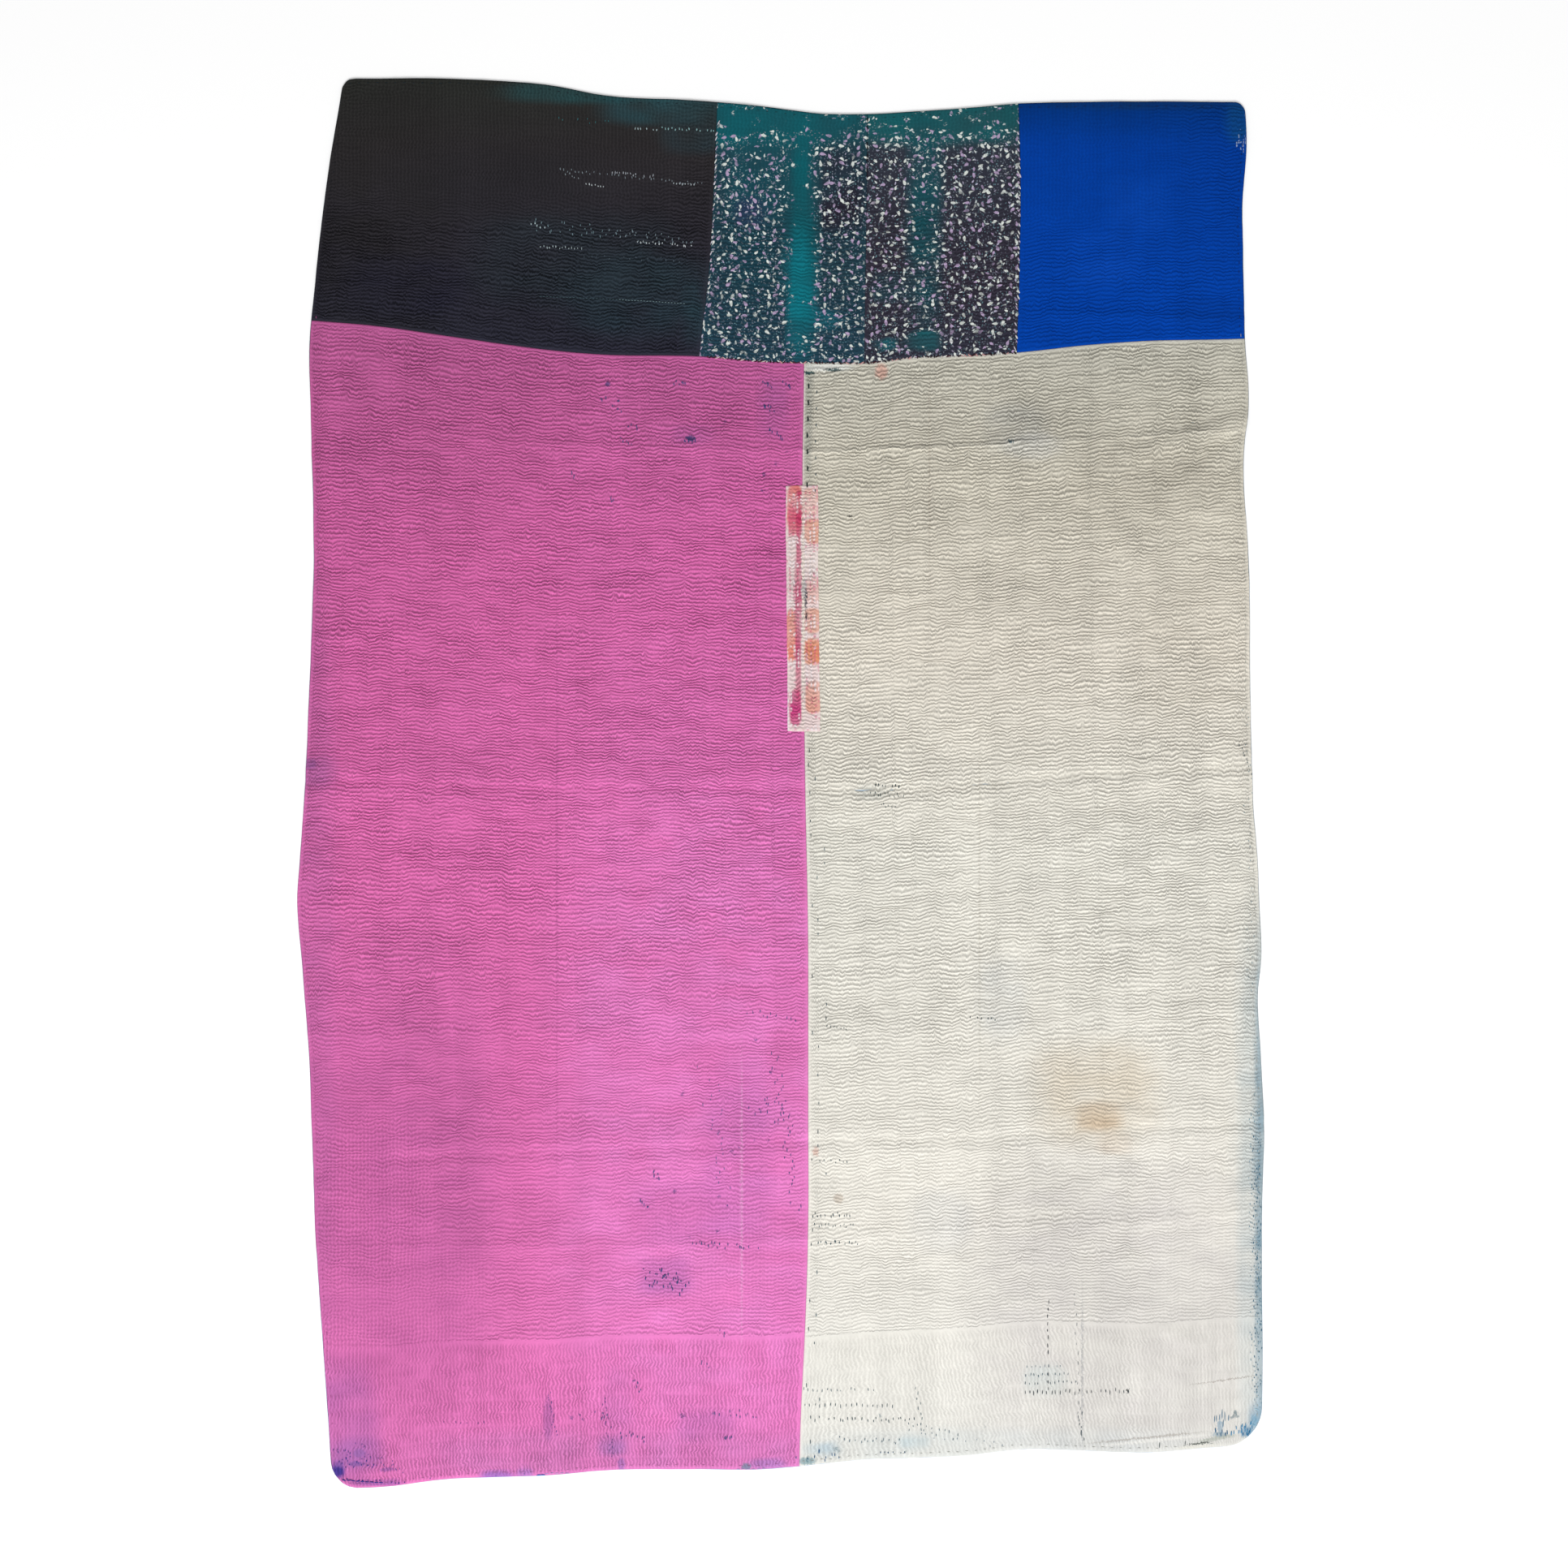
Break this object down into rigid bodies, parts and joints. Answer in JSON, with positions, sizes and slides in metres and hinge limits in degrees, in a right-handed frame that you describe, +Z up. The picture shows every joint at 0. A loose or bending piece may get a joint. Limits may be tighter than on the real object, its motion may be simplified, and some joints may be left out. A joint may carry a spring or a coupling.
{
  "type": "kantha quilt",
  "caption": "Hand quilted patchwork throw of worn cotton cloths, laid flat, with soft fold creases and a narrow repair patch on its centre seam.",
  "frame": {"origin": "middle of the quilt's outline, on the surface that it lies on", "axes": "+Y towards the end with the small panels, along the length; +X to the right across the width; +Z up through the thickness"},
  "size_m": [1.4392, 2.0984, 0.0104],
  "materials": {
    "under_cloth": "matt dyed cotton",
    "charcoal_cloth": "matt dyed cotton",
    "print_cloth": "matt printed cotton",
    "blue_cloth": "matt dyed cotton",
    "pink_cloth": "matt dyed cotton",
    "cream_cloth": "matt undyed cotton",
    "patch_cloth": "matt printed cotton"
  },
  "bodies": {
    "root": {"back_cloth": "under_cloth", "charcoal_panel": "charcoal_cloth", "print_panel_left": "print_cloth", "print_panel_right": "print_cloth", "blue_panel": "blue_cloth", "pink_panel": "pink_cloth", "cream_panel": "cream_cloth", "repair_strip": "patch_cloth"}
  },
  "joints": []
}
